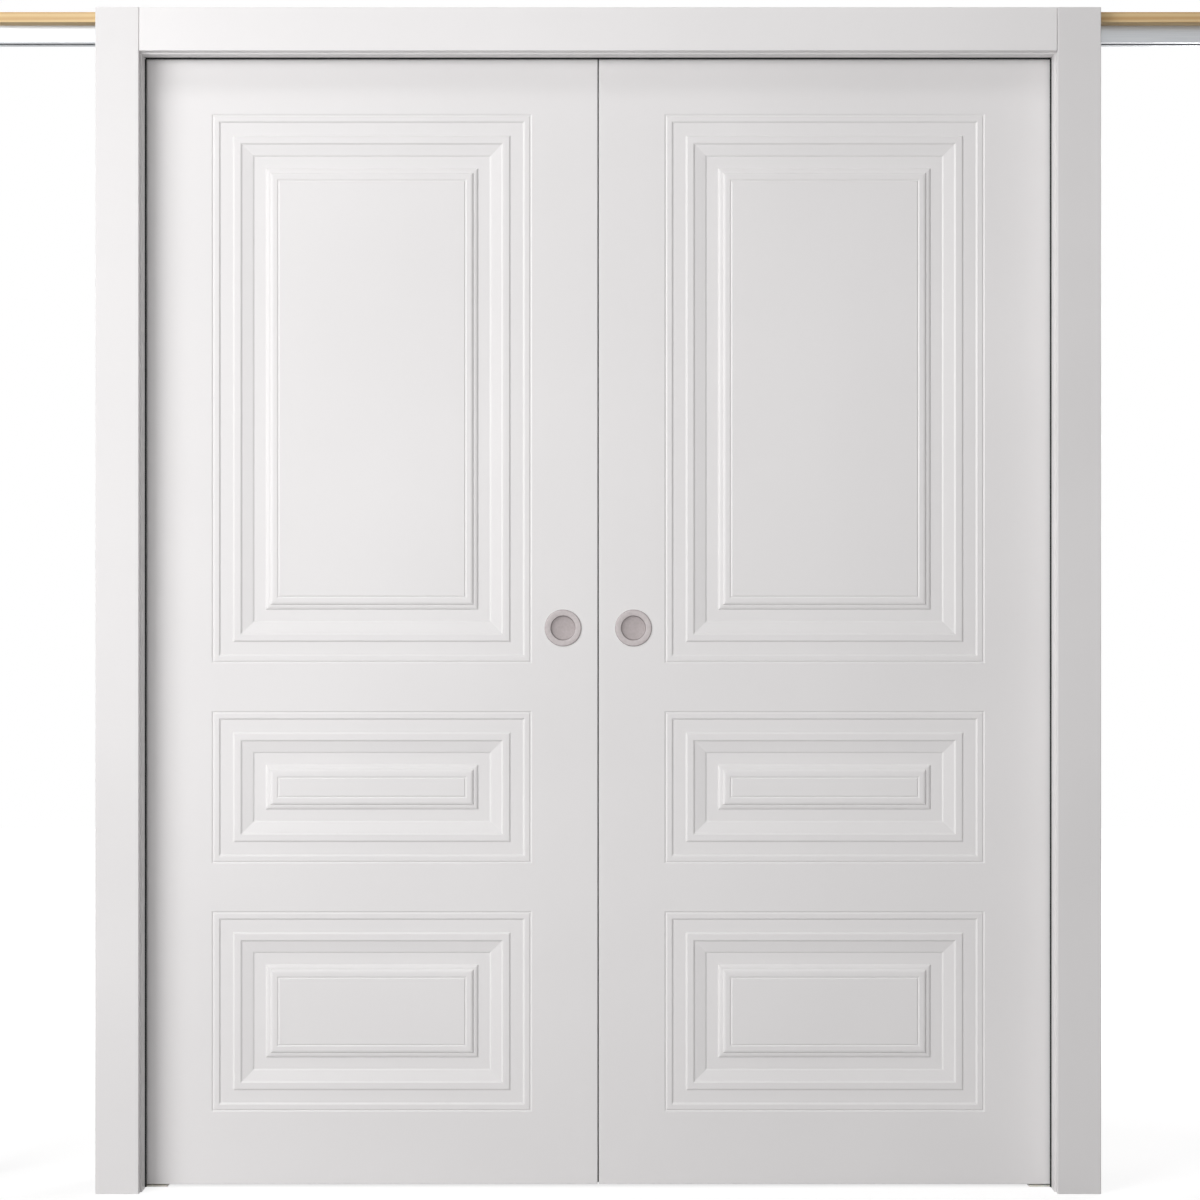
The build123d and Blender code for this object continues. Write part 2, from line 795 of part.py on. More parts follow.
with BuildPart() as hanger_bolts:
    for trolley_x in (lead_trolley_x, trail_trolley_x):
        with BuildSketch(Plane.XY.offset(leaf_top)):
            with Locations((-trolley_x, 0)):
                RegularPolygon(hex_across_flats / 2, 6, major_radius=False)
        extrude(amount=-bolt_head_height)
        with BuildSketch(Plane.XY.offset(leaf_top)):
            with Locations((-trolley_x, 0)):
                Circle(bolt_radius)
        extrude(amount=bolt_end - leaf_top)
    for trolley_x in (lead_trolley_x, trail_trolley_x):
        with BuildSketch(Plane.XY.offset(plate_top)):
            with Locations((-trolley_x, 0)):
                RegularPolygon(hex_across_flats / 2, 6, major_radius=False)
                Circle(bolt_radius + thread_clearance, mode=Mode.SUBTRACT)
        extrude(amount=nut_height)

save_leaf_gear(hanger_bolts, "hanger_bolts")

# Trolleys, cast blocks bored for two axle pins and tapped for the hanger bolt
pin_xs = [
    -trolley_x + side * axle_spacing / 2
    for trolley_x in (lead_trolley_x, trail_trolley_x)
    for side in (1, -1)
]


def trolley(x):
    with BuildPart() as block:
        with BuildSketch(Plane.XZ):
            with Locations((-x, axle_height)):
                RectangleRounded(trolley_length, trolley_height, trolley_corner)
            with Locations((-x - axle_spacing / 2, axle_height), (-x + axle_spacing / 2, axle_height)):
                Circle(pin_radius + pin_seat_clearance, mode=Mode.SUBTRACT)
        extrude(amount=trolley_width / 2, both=True)
        with BuildSketch(Plane.XY.offset(axle_height - trolley_height / 2)):
            with Locations((-x, 0)):
                Circle(bolt_radius + thread_clearance)
        extrude(amount=trolley_height, mode=Mode.SUBTRACT)
    return block


save_leaf_gear(trolley(lead_trolley_x), "lead_trolley")
save_leaf_gear(trolley(trail_trolley_x), "trail_trolley")

# Axle pins with riveted heads outside the wheels
wheel_inner = trolley_width / 2 + pin_head_gap
tread_inner = wheel_inner + wheel_hub_length
wheel_outer = tread_inner + wheel_width
pin_half = wheel_outer + pin_head_gap

with BuildPart() as axle_pins:
    for x in pin_xs:
        with BuildSketch(Plane.XZ):
            with Locations((x, axle_height)):
                Circle(pin_radius)
        extrude(amount=pin_half, both=True)
        for side in (-1, 1):
            with BuildSketch(Plane(origin=(x, side * pin_half, axle_height), z_dir=(0, side, 0))):
                Circle(pin_head_radius)
            extrude(amount=pin_head_length)

save_leaf_gear(axle_pins, "axle_pins")

# Wheels in pairs on each pin: a hub towards the trolley and a dished outer side
bore_radius = pin_radius + pin_running_clearance

for number, x in enumerate(pin_xs, start=1):
    with BuildPart() as wheel_pair:
        with BuildSketch(Plane(origin=(x, 0, axle_height))):
            with BuildLine():
                Polyline(
                    (bore_radius, wheel_inner),
                    (wheel_hub_radius, wheel_inner),
                    (wheel_hub_radius, tread_inner),
                    (wheel_radius - wheel_edge, tread_inner),
                    (wheel_radius, tread_inner + wheel_edge),
                    (wheel_radius, wheel_outer - wheel_edge),
                    (wheel_radius - wheel_edge, wheel_outer),
                    (wheel_radius - 2 * wheel_edge, wheel_outer),
                    (wheel_radius - 2 * wheel_edge, wheel_outer - wheel_dish),
                    (wheel_hub_radius, wheel_outer - wheel_dish),
                    (wheel_hub_radius, wheel_outer),
                    (bore_radius, wheel_outer),
                    close=True,
                )
            make_face()
        revolve(axis=Axis((x, 0, axle_height), (0, 1, 0)))
        mirror(about=Plane.XZ)
    save_leaf_gear(wheel_pair, f"wheel_pair_{number}")
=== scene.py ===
import math

import bmesh
import bpy
from mathutils import Matrix, Vector


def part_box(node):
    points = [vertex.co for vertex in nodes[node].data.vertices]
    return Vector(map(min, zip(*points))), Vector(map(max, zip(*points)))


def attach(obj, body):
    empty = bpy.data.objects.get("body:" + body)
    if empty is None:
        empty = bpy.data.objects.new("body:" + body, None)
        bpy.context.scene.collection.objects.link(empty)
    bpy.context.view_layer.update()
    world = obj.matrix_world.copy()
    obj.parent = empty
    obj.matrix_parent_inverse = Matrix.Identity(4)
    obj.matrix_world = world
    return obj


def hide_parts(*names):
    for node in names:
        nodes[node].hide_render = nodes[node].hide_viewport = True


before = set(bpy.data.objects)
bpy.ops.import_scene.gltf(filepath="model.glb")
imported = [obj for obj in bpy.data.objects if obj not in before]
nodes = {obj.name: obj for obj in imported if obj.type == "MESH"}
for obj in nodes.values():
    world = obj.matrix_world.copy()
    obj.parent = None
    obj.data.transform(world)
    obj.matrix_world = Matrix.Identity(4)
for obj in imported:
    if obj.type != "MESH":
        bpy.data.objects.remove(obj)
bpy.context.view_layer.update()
scene = bpy.context.scene

# Camera: a long lens square to the wall, a little above the pulls, so that the casings
# stand upright and the two jambs show their inner faces by the same sliver.
camera_distance = 4.5
camera_height = 1.05
camera_side = 0.0032
seen_width = 2.1466
film_width, far_clip = 36.0, 60.0
leaf_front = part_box("left_leaf")[0].y


def placed(name, data):
    # A new object of the scene that holds the data
    piece = bpy.data.objects.new(name, data)
    scene.collection.objects.link(piece)
    return piece


lens_data = bpy.data.cameras.new("studio_camera")
camera = placed("studio_camera", lens_data)
camera.location = (camera_side, -camera_distance, camera_height)
camera.rotation_euler = (math.radians(90), 0, 0)
lens_data.sensor_width = film_width
lens_data.lens = film_width * (camera_distance + leaf_front) / seen_width
lens_data.clip_end = far_clip
scene.camera = camera
scene.view_settings.view_transform = "Standard"

# Floor and studio: a pale floor that reads as plain white and keeps the door's soft shadow.
# A wide soft box stands on the left, a small one hangs high for the tops of the mouldings, one
# lights the other room's side, and one behind the camera and the room itself fill in the rest.
floor_size = 14.0
room_light = 0.220
# What the camera and a gloss see of the floor glows by itself, and less beside the door, where
# its shadow has to show. The distance is squeezed along the wall, as the door's foot is long.
near_lift, far_lift = 0.78, 0.97
near_reach, far_reach = 0.6, 1.8
floor_squeeze = 0.4
# A soft box has its power in watts, its place, the point that it faces, its width and height
soft_boxes = {
    "key_box": (184.0, Vector((-3.8, -4.0, 2.0)), Vector((-1.3, 0.0, -0.9)), 3.2, 2.7),
    "front_box": (60.0, Vector((-0.75, -6.0, 1.9)), Vector((0.0, 0.0, 1.1)), 2.6, 2.6),
    "top_box": (40.0, Vector((-2.1, -2.8, 5.2)), Vector((0.0, 0.0, 1.1)), 1.6, 1.2),
    "back_box": (200.0, Vector((3.4, 4.2, 2.1)), Vector((0.2, 0.0, 1.2)), 3.2, 1.8),
}


def colour(code):
    # An sRGB hex value as the linear colour that a shader takes
    channels = [int(code[i : i + 2], 16) / 255 for i in (1, 3, 5)]
    linear = [c / 12.92 if c <= 0.04045 else ((c + 0.055) / 1.055) ** 2.4 for c in channels]
    return (*linear, 1.0)


def add_node(tree, kind, inputs=(), **settings):
    # Adds a node with its settings, and gives its inputs, by name or number, values or links.
    # A list links several sources, and a node stands for its first output that is in use.
    node = tree.nodes.new(kind)
    for name, value in settings.items():
        setattr(node, name, value)
    sockets = {socket.name: socket for socket in reversed(node.inputs[:]) if socket.enabled}
    sockets.update(enumerate(node.inputs))
    for key, given in dict(inputs).items():
        for source in given if isinstance(given, list) else [given]:
            if isinstance(source, bpy.types.Node):
                source = next(output for output in source.outputs if output.enabled)
            if isinstance(source, bpy.types.NodeSocket):
                tree.links.new(source, sockets[key])
            else:
                sockets[key].default_value = source
    return node


def blank(name):
    # A new material with nothing in it yet, its node tree, and the place on the piece
    material = bpy.data.materials.new(name)
    material.use_nodes = True
    tree = material.node_tree
    tree.nodes.clear()
    return material, tree, add_node(tree, "ShaderNodeTexCoord").outputs["Object"]


world = bpy.data.worlds.new("studio")
scene.world = world
world.use_nodes = True
tree = world.node_tree
tree.nodes.clear()
rays = add_node(tree, "ShaderNodeLightPath").outputs
seen = add_node(tree, "ShaderNodeMath", {0: rays["Is Camera Ray"], 1: rays["Is Glossy Ray"]},
                operation="MAXIMUM")
seen = add_node(tree, "ShaderNodeMath", {0: seen, 1: rays["Is Transmission Ray"]}, operation="MAXIMUM")
fill = add_node(tree, "ShaderNodeBackground", {"Color": colour("#fbfafa"), "Strength": room_light})
white = add_node(tree, "ShaderNodeBackground", {"Color": colour("#ffffff"), "Strength": 1.0})
either = add_node(tree, "ShaderNodeMixShader", {0: seen, 1: fill, 2: white})
add_node(tree, "ShaderNodeOutputWorld", {"Surface": either})

floor_paint, tree, place = blank("studio_floor")
rays = add_node(tree, "ShaderNodeLightPath").outputs
seen = add_node(tree, "ShaderNodeMath", {0: rays["Is Camera Ray"], 1: rays["Is Glossy Ray"]},
                operation="MAXIMUM")
spot = add_node(tree, "ShaderNodeMapping", {"Vector": place, "Scale": (floor_squeeze, 1, 0)})
spread = add_node(tree, "ShaderNodeVectorMath", {0: spot}, operation="LENGTH")
lift = add_node(tree, "ShaderNodeMapRange", {
    "Value": spread, "From Min": near_reach, "From Max": far_reach, "To Min": near_lift, "To Max": far_lift})
lift = add_node(tree, "ShaderNodeMath", {0: seen, 1: lift}, operation="MULTIPLY")
paint = add_node(tree, "ShaderNodeBsdfDiffuse", {"Color": colour("#9c9b9b")})
glow = add_node(tree, "ShaderNodeEmission", {"Strength": lift, "Color": colour("#ffffff")})
both = add_node(tree, "ShaderNodeAddShader", {0: paint, 1: glow})
add_node(tree, "ShaderNodeOutputMaterial", {"Surface": both})

floor_mesh = bpy.data.meshes.new("studio_floor")
corner = floor_size / 2
floor_mesh.from_pydata([(x * corner, y * corner, 0) for x, y in ((-1, -1), (1, -1), (1, 1), (-1, 1))],
                       [], [(0, 1, 2, 3)])
floor_mesh.materials.append(floor_paint)
floor = placed("studio_floor", floor_mesh)

for name, (power, place, aim, width, height) in soft_boxes.items():
    box_data = bpy.data.lights.new(name, "AREA")
    box_data.shape = "RECTANGLE"
    box_data.size, box_data.size_y = width, height
    box_data.energy = power
    soft_box = placed(name, box_data)
    soft_box.location = place
    soft_box.rotation_euler = (aim - place).to_track_quat("-Z", "Y").to_euler()

# Header board and packers: planed spruce, sawn to the frame's depth, nailed over the studs.
# Its rings run along the board as brown lines about 10 mm apart, over a fine fibre.
spruce_ring, ring_wander = 0.01005, 0.111
wood_fibre, fibre_depth = 0.0011, 0.0003
ring_stretch, fibre_stretch = (0.06, 1.0, 1.0), (0.02, 1.0, 1.0)
# The rings of a wave texture lie this far apart where its scale is one
wave_length = math.pi / 10


def finished(material, plain, stain, relief, gloss=None):
    # Ends a material in its one shader, which takes plain values on its own sockets. A stain is
    # a pattern, the part of its range over which one colour turns into the other, and the two
    # colours. Gloss is a pattern and two roughnesses. Relief is a pattern, a depth in metres
    # and a strength.
    tree = material.node_tree
    pattern, low, high, first, second = stain
    share = add_node(tree, "ShaderNodeMapRange", {"Value": pattern, "From Min": low, "From Max": high})
    tone = add_node(tree, "ShaderNodeMix", {"Factor": share, "A": first, "B": second}, data_type="RGBA")
    pattern, depth, strength = relief
    bump = add_node(tree, "ShaderNodeBump", {"Height": pattern, "Distance": depth, "Strength": strength})
    inputs = {**plain, "Base Color": tone, "Normal": bump}
    if gloss:
        pattern, smooth, rough = gloss
        inputs["Roughness"] = add_node(tree, "ShaderNodeMapRange", {
            "Value": pattern, "To Min": smooth, "To Max": rough})
    shader = add_node(tree, "ShaderNodeBsdfPrincipled", inputs)
    add_node(tree, "ShaderNodeOutputMaterial", {"Surface": shader})
    return material


def finish_node(names, material):
    # Gives carried-over nodes their material
    for name in names:
        mesh = nodes[name].data
        mesh.materials.clear()
        mesh.materials.append(material)


def spruce_timber():
    material, tree, place = blank("planed_spruce")
    along = add_node(tree, "ShaderNodeMapping", {"Vector": place, "Scale": ring_stretch})
    wander = add_node(tree, "ShaderNodeTexNoise", {"Vector": along, "Scale": 1 / ring_wander, "Detail": 3.0})
    rings = add_node(tree, "ShaderNodeTexWave", {
        "Vector": along, "Scale": wave_length / spruce_ring, "Distortion": 3.5, "Detail": 2.0,
        "Detail Scale": 1.2}, wave_type="RINGS", rings_direction="X")
    tone = add_node(tree, "ShaderNodeMath", {0: rings.outputs["Fac"], 1: wander}, operation="MULTIPLY")
    drawn = add_node(tree, "ShaderNodeMapping", {"Vector": place, "Scale": fibre_stretch})
    fibre = add_node(tree, "ShaderNodeTexNoise", {"Vector": drawn, "Scale": 1 / wood_fibre, "Detail": 3.0})
    return finished(material, {}, stain=(tone, 0.0, 0.85, colour("#e3c695"), colour("#c1935a")),
                    gloss=(fibre, 0.5, 0.75), relief=(fibre, fibre_depth, 0.4))


finish_node(["header_board", "head_nailers"], spruce_timber())

# Header track and its stops: anodised aluminium, extruded, with fine lines drawn along it
# by the die. The finish is even and a little cold.
die_line, die_depth = 0.0004, 0.00005
die_stretch = (0.004, 1.0, 1.0)


def anodised_aluminium():
    material, tree, place = blank("anodised_aluminium")
    drawn = add_node(tree, "ShaderNodeMapping", {"Vector": place, "Scale": die_stretch})
    lines = add_node(tree, "ShaderNodeTexNoise", {"Vector": drawn, "Scale": 1 / die_line})
    return finished(material, {"Metallic": 1.0},
                    stain=(lines, 0.3, 0.7, colour("#adb0b4"), colour("#bec0c2")),
                    gloss=(lines, 0.28, 0.42), relief=(lines, die_depth, 0.5))


finish_node(["header_track", "centre_stop", "end_stops"], anodised_aluminium())

# Split studs, floor plates and end brackets: galvanised sheet steel, folded cold.
# The zinc shows pale spangles about 9 mm across, each a slightly different grey.
spangle = 0.009
zinc_ripple, ripple_depth = 0.0045, 0.0001


def galvanised_steel():
    material, tree, place = blank("galvanised_steel")
    cells = add_node(tree, "ShaderNodeTexVoronoi", {"Vector": place, "Scale": 1 / spangle})
    shade = add_node(tree, "ShaderNodeSeparateColor", {"Color": cells.outputs["Color"]})
    ripple = add_node(tree, "ShaderNodeTexNoise", {"Vector": place, "Scale": 1 / zinc_ripple, "Detail": 3.0})
    return finished(material, {"Metallic": 1.0},
                    stain=(shade, 0.0, 1.0, colour("#858d93"), colour("#aeb5ba")),
                    gloss=(shade, 0.38, 0.55), relief=(ripple, ripple_depth, 0.35))


finish_node([f"{side}_{piece}" for side in ("left", "right")
             for piece in ("mouth_studs", "mid_studs", "floor_plates", "end_bracket")], galvanised_steel())

# Screws, bolts, hanger plates and axle pins: steel with bright zinc plating, which is
# smooth, faintly blue, and uneven where it dripped in the bath.
zinc_drip, zinc_pit, pit_depth = 0.0055, 0.0011, 0.00004


def zinc_plated_steel():
    material, tree, place = blank("zinc_plated_steel")
    drips = add_node(tree, "ShaderNodeTexNoise", {"Vector": place, "Scale": 1 / zinc_drip, "Detail": 3.0})
    pits = add_node(tree, "ShaderNodeTexNoise", {"Vector": place, "Scale": 1 / zinc_pit})
    return finished(material, {"Metallic": 1.0},
                    stain=(drips, 0.3, 0.75, colour("#b3b8bf"), colour("#d0d2d2")),
                    gloss=(drips, 0.24, 0.4), relief=(pits, pit_depth, 0.4))


zinc_plated = zinc_plated_steel()
finish_node([f"{side}_{piece}" for side in ("left", "right")
             for piece in ("hanger_plates", "hanger_bolts", "axle_pins")], zinc_plated)

# Screws: 3.5 mm ones of steel wire, headed and thread-rolled, then zinc plated. Pan heads bear in
# the track and its stops, and countersunk ones sit flush in the end brackets and hanger plates.
screw_core, screw_thread, screw_head = 0.00135, 0.0004, 0.004
thread_pitch, screw_point, point_end = 0.0018, 0.003, screw_core / 8
screw_sides, thread_steps, thread_corners = 32, 14, 3
recess_width, recess_span, cross_depth = 0.0010, 0.0042, 0.0011
pan_top, pan_height = 0.0030, 0.0022
sink_foot, sink_height = 0.00195, 0.002
pan_form = {"Face": -pan_height, "Face Radius": pan_top, "Neck Radius": screw_head,
            "Head Height": pan_height, "Turn": (0.0, 0.0, 0.0)}
sunk_form = {"Face": 0.0, "Face Radius": screw_head, "Neck Radius": sink_foot,
             "Head Height": sink_height, "Turn": (math.pi, 0.0, 0.0)}
track_wall, counterbore_depth, board_bite = 0.0025, 0.014, 0.0135
screw_spacing, screws_each_side = 0.380, 4
stop_screw_x, bracket_screw_x, bracket_screw_y = 1.5038, 1.510, 0.025
board_screw, plate_screw = 0.016, 0.025
plate_screw_along, plate_screw_across = 0.028, 0.009


def settled(piece):
    # The piece with its modifiers made into a plain mesh
    mesh = bpy.data.meshes.new_from_object(piece.evaluated_get(bpy.context.evaluated_depsgraph_get()))
    mesh.name = piece.name
    piece.modifiers.clear()
    piece.data = mesh
    return piece


def named_tree(name, sizes):
    # An empty tree with an input for points and one for each size, whose kind follows its value
    kinds = {int: "NodeSocketInt", float: "NodeSocketFloat", tuple: "NodeSocketVector"}
    tree = bpy.data.node_groups.new(name, "GeometryNodeTree")
    tree.interface.new_socket("Mesh", in_out="OUTPUT", socket_type="NodeSocketGeometry")
    tree.interface.new_socket("Points", in_out="INPUT", socket_type="NodeSocketGeometry")
    for label, size in sizes.items():
        tree.interface.new_socket(label, in_out="INPUT", socket_type=kinds[type(size)]).default_value = size
    return tree, add_node(tree, "NodeGroupInput").outputs


def planted(tree, material, standing):
    # Ends a tree: pieces that stand on points are made real and take their material
    stood = add_node(tree, "GeometryNodeInstanceOnPoints", standing)
    real = add_node(tree, "GeometryNodeRealizeInstances", {"Geometry": stood})
    faced = add_node(tree, "GeometryNodeSetMaterial", {"Geometry": real, "Material": material})
    add_node(tree, "NodeGroupOutput", {"Mesh": faced})
    return tree


def grown(name, tree, sizes, points=()):
    # A mesh grown by a tree, with each named input set on its socket's identifier
    seed_mesh = bpy.data.meshes.new(name)
    seed_mesh.from_pydata(points, [], [])
    piece = placed(name, seed_mesh)
    growth = piece.modifiers.new("growth", "NODES")
    growth.node_group = tree
    for socket in tree.interface.items_tree:
        if socket.name in sizes:
            growth[socket.identifier] = sizes[socket.name]
    mesh = settled(piece).data
    bpy.data.objects.remove(piece)
    return mesh


def as_mesh(name, shape):
    # A mesh of the finished shape, with every face turned outwards
    bmesh.ops.recalc_face_normals(shape, faces=shape.faces)
    mesh = bpy.data.meshes.new(name)
    shape.to_mesh(mesh)
    shape.free()
    return mesh


def screw_growth(material):
    # A screw on every point: a head with a cross cut in it, a core, a point and a rolled thread
    tree, given = named_tree("screw_growth", {"Length": board_screw, **pan_form})
    head = add_node(tree, "GeometryNodeMeshCone", {
        "Radius Bottom": given["Face Radius"], "Radius Top": given["Neck Radius"],
        "Depth": given["Head Height"], "Vertices": screw_sides})
    bars = [add_node(tree, "GeometryNodeMeshCube", {"Size": (across, along, 2 * cross_depth)})
            for across, along in ((recess_span, recess_width), (recess_width, recess_span))]
    cut = add_node(tree, "GeometryNodeMeshBoolean", {"Mesh 1": head, "Mesh 2": bars},
                   operation="DIFFERENCE", solver="EXACT")
    face = add_node(tree, "ShaderNodeCombineXYZ", {"Z": given["Face"]})
    head = add_node(tree, "GeometryNodeTransform", {"Geometry": cut, "Translation": face})
    straight = add_node(tree, "ShaderNodeMath", {0: given["Length"], 1: screw_point}, operation="SUBTRACT")
    core = add_node(tree, "GeometryNodeMeshCone", {
        "Depth": straight, "Vertices": screw_sides, "Radius Top": screw_core, "Radius Bottom": screw_core})
    point = add_node(tree, "GeometryNodeMeshCone", {
        "Depth": screw_point, "Vertices": screw_sides, "Radius Top": point_end, "Radius Bottom": screw_core})
    neck = add_node(tree, "ShaderNodeCombineXYZ", {"Z": straight})
    point = add_node(tree, "GeometryNodeTransform", {"Geometry": point, "Translation": neck})
    turns = add_node(tree, "ShaderNodeMath", {0: straight, 1: thread_pitch}, operation="DIVIDE")
    helix = add_node(tree, "GeometryNodeCurveSpiral", {
        "Rotations": turns, "Height": straight, "Resolution": thread_steps, "Start Radius": screw_core,
        "End Radius": screw_core})
    profile = add_node(tree, "GeometryNodeCurvePrimitiveCircle", {
        "Resolution": thread_corners, "Radius": screw_thread})
    thread = add_node(tree, "GeometryNodeCurveToMesh", {
        "Curve": helix, "Profile Curve": profile, "Fill Caps": True})
    screw = add_node(tree, "GeometryNodeJoinGeometry", {"Geometry": [head, core, point, thread]})
    return planted(tree, material, {"Points": given["Points"], "Instance": screw, "Rotation": given["Turn"]})


def screw_set(name, body, node, sets):
    # Each set is the points of its screws, their length, and the form of their heads
    shape = bmesh.new()
    for points, length, form in sets:
        screws = grown("screws", screw_tree, {"Length": length, **form}, points)
        shape.from_mesh(screws)
        bpy.data.meshes.remove(screws)
    mesh = as_mesh(name, shape)
    mesh.materials.append(zinc_plated)
    piece = placed(name, mesh)
    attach(piece, body)
    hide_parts(node)


screw_tree = screw_growth(zinc_plated)
board_low, board_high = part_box("header_board")
roof_seat, stop_seat = board_low.z - track_wall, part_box("centre_stop")[0].z + counterbore_depth
screw_set("header_screw_set", "frame", "header_screws", [
    ([(side * screw_spacing * (n + 0.5), 0, roof_seat) for side in (-1, 1) for n in range(screws_each_side)],
     board_screw, pan_form),
    ([(x, 0, stop_seat) for x in (-stop_screw_x, 0, stop_screw_x)],
     board_low.z + board_bite - stop_seat, pan_form),
    ([(side * bracket_screw_x, row * bracket_screw_y, board_high.z) for side in (-1, 1) for row in (-1, 1)],
     board_screw, sunk_form),
])
# Both ends of a leaf hang from a trolley, by a plate with four screws round its middle
trolley_middles = {(side, end): sum(corner.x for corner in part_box(f"{side}_{end}_trolley")) / 2
                   for side in ("left", "right") for end in ("lead", "trail")}
for side in ("left", "right"):
    plate_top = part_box(f"{side}_plate_screws")[1].z
    screw_set(f"{side}_plate_screw_set", f"{side}_leaf", f"{side}_plate_screws", [
        ([(trolley_middles[side, end] + along * plate_screw_along, row * plate_screw_across, plate_top)
          for end in ("lead", "trail") for along in (-1, 1) for row in (-1, 1)], plate_screw, sunk_form)])

# Trolleys: bodies that carry the wheels under the track's roof, cast in zinc under pressure
# and left as they come from the die, dull with a fine grain.
cast_grain, grain_depth = 0.0007, 0.00006


def cast_zinc():
    material, tree, place = blank("cast_zinc")
    grain = add_node(tree, "ShaderNodeTexNoise", {"Vector": place, "Scale": 1 / cast_grain, "Detail": 3.0})
    return finished(material, {"Metallic": 1.0},
                    stain=(grain, 0.25, 0.8, colour("#8b8f94"), colour("#a5a9ad")),
                    gloss=(grain, 0.42, 0.62), relief=(grain, grain_depth, 0.5))


finish_node([f"{side}_{end}_trolley" for side, end in trolley_middles], cast_zinc())

# Wheels and floor guides: moulded nylon, milky and slightly waxy, with a dull bloom
# where the mould was etched.
nylon_bloom, mould_etch, etch_depth = 0.0025, 0.00055, 0.00003
nylon_gleam, gleam_reach = 0.12, 0.002


def moulded_nylon():
    material, tree, place = blank("moulded_nylon")
    bloom = add_node(tree, "ShaderNodeTexNoise", {"Vector": place, "Scale": 1 / nylon_bloom, "Detail": 3.0})
    etch = add_node(tree, "ShaderNodeTexNoise", {"Vector": place, "Scale": 1 / mould_etch})
    return finished(material, {"Subsurface Weight": nylon_gleam, "Subsurface Scale": gleam_reach},
                    stain=(bloom, 0.25, 0.8, colour("#dedbd0"), colour("#ece9e0")),
                    gloss=(bloom, 0.34, 0.5), relief=(etch, etch_depth, 0.4))


nylon = moulded_nylon()
finish_node([f"{side}_wheel_pair_{n}" for side in ("left", "right") for n in (1, 2, 3, 4)], nylon)
finish_node(["left_floor_guide", "right_floor_guide"], nylon)

# Bumpers and meeting strips: black rubber, moulded for the bumpers on the stops and extruded for
# the strips that are pressed into the leaves' meeting edges. It is matt, with a faint grey bloom.
rubber_bloom, rubber_speck, speck_depth = 0.0029, 0.00045, 0.00004


def black_rubber():
    material, tree, place = blank("black_rubber")
    bloom = add_node(tree, "ShaderNodeTexNoise", {"Vector": place, "Scale": 1 / rubber_bloom, "Detail": 3.0})
    specks = add_node(tree, "ShaderNodeTexNoise", {"Vector": place, "Scale": 1 / rubber_speck})
    return finished(material, {"Specular IOR Level": 0.35},
                    stain=(bloom, 0.3, 0.85, colour("#141416"), colour("#202022")),
                    gloss=(bloom, 0.58, 0.78), relief=(specks, speck_depth, 0.5))


finish_node(["stop_bumpers", "left_meeting_seal", "right_meeting_seal"], black_rubber())

# Casings and jambs: planed timber under satin white enamel, brushed on along each length,
# so that faint strokes about 1.5 mm wide run with the board.
brush_stroke, stroke_depth = 0.0015, 0.00002
enamel_cloud = 0.417
upright_stretch, level_stretch = (1.0, 1.0, 0.012), (0.012, 1.0, 1.0)
casing_arris, jamb_arris, arris_steps = 0.0005, 0.0006, 3
butt_gap = 0.0005
weld_distance, flat_angle, arris_angle = 1e-6, math.radians(1), math.radians(30)


def brushed_enamel(name, along, shade, light):
    material, tree, place = blank(name)
    cloud = add_node(tree, "ShaderNodeTexNoise", {"Vector": place, "Scale": 1 / enamel_cloud})
    drawn = add_node(tree, "ShaderNodeMapping", {"Vector": place, "Scale": along})
    strokes = add_node(tree, "ShaderNodeTexNoise", {"Vector": drawn, "Scale": 1 / brush_stroke})
    return finished(material, {}, stain=(cloud, 0.3, 0.7, colour(shade), colour(light)),
                    gloss=(strokes, 0.36, 0.42), relief=(strokes, stroke_depth, 0.1))


def sanded(node, radius, end_gap):
    # A board of the node's own form, with its outer arrises rounded by sanding and paint, and
    # its ends cut short by the gap where it butts against the next
    shape = bmesh.new()
    shape.from_mesh(nodes[node].data)
    bmesh.ops.remove_doubles(shape, verts=shape.verts, dist=weld_distance)
    bmesh.ops.dissolve_limit(shape, angle_limit=flat_angle, verts=shape.verts, edges=shape.edges)
    for corner in shape.verts:
        corner.co.x -= math.copysign(end_gap, corner.co.x)
    arrises = [edge for edge in shape.edges if edge.is_convex and edge.calc_face_angle(0.0) > arris_angle]
    rounded = bmesh.ops.bevel(shape, geom=arrises, offset=radius, segments=arris_steps, profile=0.5,
                              affect="EDGES", clamp_overlap=True)
    for strip in rounded["faces"]:
        strip.smooth = True
    return placed(f"{node}_board", as_mesh(f"{node}_board", shape))


# The head pieces take a lighter copy of the same white and the upright ones a darker copy: painted light and
# painted shade, not a difference in the paint.
upright_enamel_painted_shade = brushed_enamel("brushed_white_enamel_upright_painted_shade", upright_stretch, "#e4e2e2", "#e9e7e7")
level_enamel_painted_light = brushed_enamel("brushed_white_enamel_level_painted_light", level_stretch, "#efeded", "#f3f1f1")
for face in ("front", "back"):
    for run in ("left", "right", "head"):
        for piece, radius in (("casing", casing_arris), ("jamb", jamb_arris)):
            butted = (run, piece) == ("head", "casing")
            timber = sanded(f"{face}_{run}_{piece}", radius, butt_gap if butted else 0.0)
            timber.data.materials.append(level_enamel_painted_light if run == "head" else upright_enamel_painted_shade)
            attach(timber, "frame")
            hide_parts(f"{face}_{run}_{piece}")

# Jamb seals: tufts of black polypropylene pile in four rows, woven into a backing tape whose
# barb is pushed into the jamb's kerf. Real tufts stand 0.3 mm apart. They are drawn coarser.
seal_width, seal_backing, pile_core = 0.006, 0.0008, 0.0030
seal_barb, seal_barb_depth = 0.0016, 0.005
seal_clearance, pile_margin = 0.0004, 0.0003
tuft_pitch, tuft_rows, tuft_height = 0.0014, 4, 0.004
tuft_foot, tuft_tip, tuft_sides = 0.0008, 0.0003, 3
tuft_lean, tuft_turn = 0.08, 2.1
thin_tuft, short_tuft, tall_tuft = 0.85, 0.86, 0.98
left_seed, right_seed, head_seed = 4, 5, 6
pile_fibre, pile_depth = 0.0004, 0.0002
